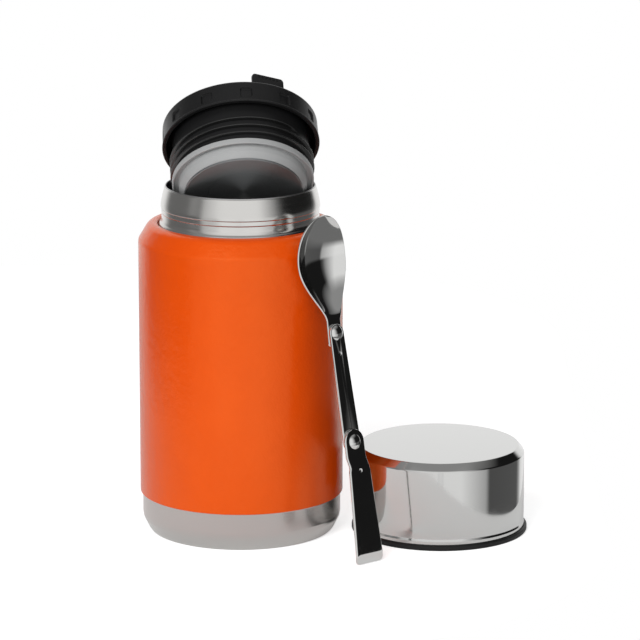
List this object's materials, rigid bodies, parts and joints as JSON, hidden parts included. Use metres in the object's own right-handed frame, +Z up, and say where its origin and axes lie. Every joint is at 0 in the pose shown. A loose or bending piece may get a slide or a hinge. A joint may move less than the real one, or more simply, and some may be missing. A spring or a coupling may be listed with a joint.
{
  "type": "insulated food jar",
  "caption": "Vacuum-insulated food jar with an opened screw-in stopper, an upturned drinking cup and a folding spoon with riveted joints.",
  "frame": {"origin": "centre of the jar's flat foot, on the surface it stands on", "axes": "+Z up along the jar's axis, -Y towards the viewer, +X towards the cup that stands beside the jar"},
  "size_m": [0.1911, 0.1237, 0.2285],
  "materials": {
    "painted_body": "satin powder coat",
    "brushed_steel": "brushed",
    "vessel_steel": "drawn, satin",
    "spun_steel": "spun",
    "polished_steel": "mirror polished",
    "black_plastic": "fine matte",
    "white_silicone": "translucent satin",
    "black_rubber": "matte",
    "foam": "closed cell",
    "getter_metal": "matte",
    "seal_glass": "glassy"
  },
  "bodies": {
    "jar": {"outer_shell": "painted_body", "neck_collar": "brushed_steel", "inner_vessel": "vessel_steel", "base_cup": "brushed_steel", "closing_plate": "vessel_steel", "seal_button": "seal_glass", "getter": "getter_metal"},
    "stopper": {"stopper_cap": "black_plastic", "stopper_plug": "black_plastic", "stopper_foam": "foam", "stopper_seal": "white_silicone", "stopper_disc": "spun_steel", "tab_pin": "brushed_steel"},
    "tab": {"flip_tab": "black_plastic"},
    "cup": {"cup_shell": "polished_steel", "cup_ring": "black_rubber"},
    "link": {"spoon_link": "polished_steel", "handle_rivet": "polished_steel", "bowl_rivet": "polished_steel"},
    "handle": {"spoon_handle": "polished_steel"},
    "bowl": {"spoon_bowl": "polished_steel"}
  },
  "joints": [
    {"name": "stopper_lift", "type": "slide", "parent": "jar", "child": "stopper", "axis": [0, 0, 1], "range_m": [0, 0.08]},
    {"name": "tab_flip", "type": "hinge", "parent": "stopper", "child": "tab", "pos_m": [0.01377, -0.01168, 0.2204], "axis": [-0.9037, -0.3344, 0.2672], "range_deg": [0, 90]},
    {"name": "cup_lift", "type": "slide", "parent": "jar", "child": "cup", "axis": [0, 0, 1], "range_m": [0, 0.08]},
    {"name": "spoon_lift", "type": "slide", "parent": "jar", "child": "link", "axis": [0, 0, 1], "range_m": [0, 0.08]},
    {"name": "handle_fold", "type": "hinge", "parent": "link", "child": "handle", "pos_m": [0.05456, -0.05671, 0.05767], "axis": [-0.6568, 0.7295, -0.1908], "range_deg": [0, 177]},
    {"name": "bowl_fold", "type": "hinge", "parent": "link", "child": "bowl", "pos_m": [0.04711, -0.04982, 0.10969], "axis": [-0.6568, 0.7295, -0.1908], "range_deg": [0, 175]}
  ]
}
